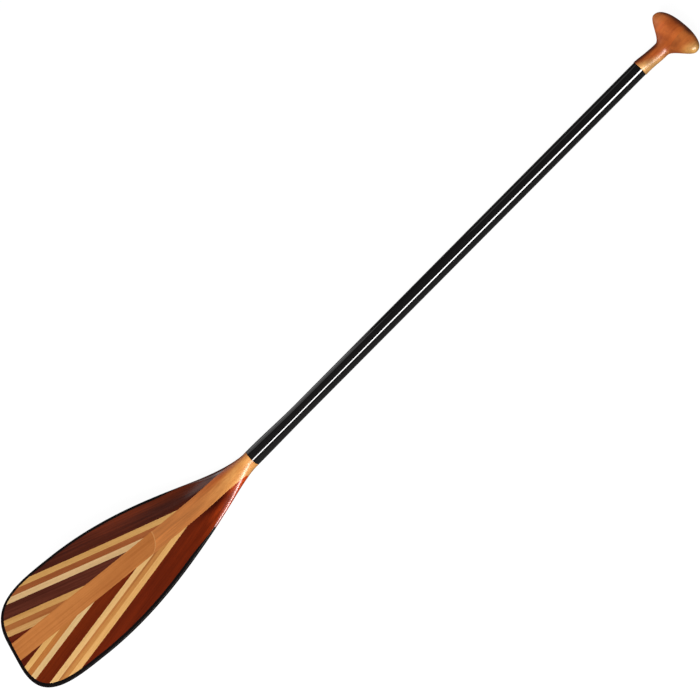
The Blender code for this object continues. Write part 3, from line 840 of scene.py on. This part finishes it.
LEFT_WOODS = {
    "outer_panel": dict(pale=(84, 32, 16), deep=(58, 18, 8), far=(106, 40, 16),
                        far_start=0.014, far_end=0.046, wander=0.04, streaks=1.8, pores=0.35, haze=0.15),
    "pale_strip_1": dict(pale=(208, 158, 92), deep=(190, 138, 76)),
    "mid_strip_1": dict(pale=(164, 94, 52), deep=(144, 78, 40)),
    "cream_strip_1": dict(pale=(218, 180, 128), deep=(200, 160, 110)),
    "dark_strip": dict(pale=(96, 46, 32), deep=(70, 29, 19), streaks=1.8, pores=0.35),
    "pale_strip_2": dict(pale=(204, 154, 90), deep=(186, 134, 72)),
    "mid_strip_2": dict(pale=(170, 104, 56), deep=(150, 86, 44)),
    "cream_strip_2": dict(pale=(206, 158, 98), deep=(188, 138, 82)),
    "tip_wedge": dict(pale=(102, 36, 18), deep=(80, 26, 11), pores=0.35),
}
SLOTS = {"outer": "panel_wood", "pale": "pale_wood", "mid": "mid_wood", "cream": "cream_wood",
         "dark": "dark_wood", "tip": "panel_wood"}

strip_step = FAN_STRIP_WIDTH / math.sin(CHEVRON_ANGLE)
dark_step = DARK_STRIP_WIDTH / math.sin(CHEVRON_ANGLE)
for side_name, mirror, woods in (("left", 1, LEFT_WOODS), ("right", -1, RIGHT_WOODS)):
    crossing = along_blade(BLADE_LENGTH - FAN_REACH)
    for number, (strip_name, colours) in enumerate(woods.items()):
        kind = strip_name.split("_")[0]
        first = None if kind == "outer" else crossing
        if kind != "outer":
            crossing += dark_step if kind == "dark" else strip_step
        last = None if kind == "tip" else crossing
        cutter = block(lamination_plan(first, last, mirror))
        piece = cut_copy(f"{side_name}_{strip_name}_wood", wood_form, cutter, "INTERSECT")
        sand_flush(piece, blade_form)
        outwards = Vector((0, mirror, 0))
        along = DOWN * math.cos(CHEVRON_ANGLE) + outwards * math.sin(CHEVRON_ANGLE)
        across = outwards * math.cos(CHEVRON_ANGLE) - DOWN * math.sin(CHEVRON_ANGLE)
        start = CORNER + DOWN * (last if first is None else first) + outwards * STICK_WIDTH / 2
        darkening = darker_by_the_throat if mirror < 0 and kind == "outer" else None
        lay_grain(piece, start, along, across, darkening)
        seed = (SEED_ALONG * number + mirror, SEED_ACROSS * number, SEED_DEPTH * mirror)
        piece.data.materials.append(varnished_wood(f"{side_name}_{strip_name}_varnished", seed, **colours))
        ride_as(piece, SLOTS[kind], f"{side_name}_{strip_name}")

bpy.data.objects.remove(wood_form)
bpy.data.objects.remove(blade_form)


# The palm grip: a core and two lobes of alder glued side by side and carved to a T, with a tenon glued into
# the shaft. The lobes are proud of the neck, and everything is rounded and varnished.
GRIP_TENON = 0.045
GRIP_HEIGHT = 0.090
GRIP_WIDTH = 0.097
GRIP_SHOULDER_DIAMETER = 0.0262
GRIP_THICKNESS = 0.026
NECK_WIDTH = 0.026
NECK_THICKNESS = 0.021
NECK_SET_BACK = 0.005
NECK_BOTTOM = 0.021
NECK_TOP = 0.042
LOBE_HEIGHT = 0.0715
LOBE_ROUNDNESS = 2.5
GRIP_TOP_POWER = 2.35
GRIP_CORE_WIDTH = 0.0284
GRIP_SIDES = 128
NECK_RINGS = 72
TOP_RINGS = 36
ELLIPSE = 2
CUT_MARGIN = 4
GRIP_FAR_AXIS = (-0.35, 1.0, 0.0)
GRIP_HAZE = 0.38
# The grip's darkening: painted shade, partly end grain, on top and on the neck's left; a darker palm.
TOP_PAINTED_SHADE = 0.8
TOP_END_GRAIN = (0.15, 0.70)
RIGHT_END_UNSHADED = 0.95
RIGHT_END_ACROSS = (0.018, 0.036)
NECK_LEFT_SHADE_ACROSS = (-0.002, 0.007)
NECK_LEFT_SHADE_END = (0.034, 0.056)
PALM_DARKNESS = 0.5
PALM_START = (0.030, 0.044)
PALM_END = (0.052, 0.080)
PALM_ACROSS = (-0.014, 0.004)


def grip_section(height, width, thickness, roundness, set_back):
    """A rounded section across the grip, this high above the tube's upper end."""
    ring = []
    for i in range(GRIP_SIDES):
        turn = 2 * math.pi * i / GRIP_SIDES
        side = math.copysign(abs(math.cos(turn)) ** (2 / roundness), math.cos(turn))
        up = math.copysign(abs(math.sin(turn)) ** (2 / roundness), math.sin(turn))
        ring.append(TUBE_FOOT + Vector((TUBE_LENGTH + height, side * width, up * thickness - set_back)))
    return ring


tenon_radius = SHAFT_DIAMETER / 2 - TUBE_WALL - JOINT_GAP
shoulder = GRIP_SHOULDER_DIAMETER / 2
sections = [grip_section(-GRIP_TENON, tenon_radius, tenon_radius, ELLIPSE, 0),
            grip_section(JOINT_GAP, tenon_radius, tenon_radius, ELLIPSE, 0),
            grip_section(JOINT_GAP, shoulder, shoulder, ELLIPSE, 0)]
for k in range(1, NECK_RINGS + 1):
    height = mix(JOINT_GAP, LOBE_HEIGHT, k / NECK_RINGS)
    narrowing = smooth(height / NECK_BOTTOM)
    swell = smooth((height - NECK_TOP) / (LOBE_HEIGHT - NECK_TOP))
    width = mix(mix(shoulder, NECK_WIDTH / 2, narrowing), GRIP_WIDTH / 2, swell)
    thickness = mix(mix(shoulder, NECK_THICKNESS / 2, narrowing), GRIP_THICKNESS / 2, swell)
    set_back = NECK_SET_BACK * smooth(height / NECK_TOP) * (1 - swell)
    sections.append(grip_section(height, width, thickness, mix(ELLIPSE, LOBE_ROUNDNESS, swell), set_back))
for k in range(1, TOP_RINGS):
    turn = math.radians(90 * k / TOP_RINGS)
    height = mix(LOBE_HEIGHT, GRIP_HEIGHT, math.sin(turn) ** (2 / GRIP_TOP_POWER))
    share = math.cos(turn) ** (2 / GRIP_TOP_POWER)
    width = GRIP_WIDTH / 2 * share
    thickness = GRIP_THICKNESS / 2 * share
    sections.append(grip_section(height, width, thickness, LOBE_ROUNDNESS, 0))
grip_form = wrap_grid("grip_form", sections)


def grip_painted_shade(grain, end_grain):
    """Painted shade on the top (partly end grain) save the lit right end, and on the neck's left; a darker
    palm.
    """
    along, rightwards = grain[:, 0], grain[:, 1]
    right_end = RIGHT_END_UNSHADED * fade(rightwards, *RIGHT_END_ACROSS)
    top = TOP_PAINTED_SHADE * fade(end_grain, *TOP_END_GRAIN) * (1 - right_end)
    neck_left = fade(-rightwards, *NECK_LEFT_SHADE_ACROSS) * (1 - fade(along, *NECK_LEFT_SHADE_END))
    palm = fade(along, *PALM_START) * (1 - fade(along, *PALM_END)) * fade(rightwards, *PALM_ACROSS)
    return np.maximum(np.maximum(top, neck_left), PALM_DARKNESS * palm)


core_half = GRIP_CORE_WIDTH / 2
# The golden far colours, right of the neck and at the right lobe's end: partly wood, partly painted light.
for name, node_name, low_side, high_side, seed, colours in (
    ("grip_core_wood", "grip_core", -core_half, core_half, (5.1, 0.7, 0.2),
     dict(pale=(228, 117, 44), deep=(182, 82, 24), far=(248, 184, 108), far_start=-0.006, far_end=0.006)),
    ("grip_left_lobe_wood", "grip_lobe_left", core_half + GLUE_LINE, GRIP_WIDTH, (5.1, 0.7, 0.2),
     dict(pale=(236, 131, 62), deep=(198, 103, 44), far=(212, 103, 38), far_start=-0.060, far_end=-0.040)),
    ("grip_right_lobe_wood", "grip_lobe_right", -GRIP_WIDTH, -core_half - GLUE_LINE, (7.7, 0.5, 0.4),
     dict(pale=(216, 118, 48), deep=(174, 88, 31), far=(254, 192, 104), far_start=0.006, far_end=0.024)),
):
    middle = (TUBE_FOOT.x + TUBE_LENGTH, (low_side + high_side) / 2, 0)
    bpy.ops.mesh.primitive_cube_add(size=1, location=middle)
    cutter = bpy.context.object
    cutter.scale = (CUT_MARGIN * GRIP_HEIGHT, high_side - low_side, CUT_MARGIN * GRIP_THICKNESS)
    bpy.ops.object.transform_apply()
    piece = cut_copy(name, grip_form, cutter, "INTERSECT")
    sand_flush(piece, grip_form)
    lay_grain(piece, TUBE_FOOT + TUBE_LENGTH * GRIPWARDS, GRIPWARDS, RIGHTWARDS, grip_painted_shade)
    piece.data.materials.append(
        varnished_wood(f"{node_name}_alder", seed, far_axis=GRIP_FAR_AXIS, wander=0.006, rings=0.0,
                       blotches=1.5, mottle=3.0, streaks=0.8, ripple=0.4, pores=0.15, haze=GRIP_HAZE,
                       **colours))
    ride_as(piece, "grip_wood", node_name)
bpy.data.objects.remove(grip_form)
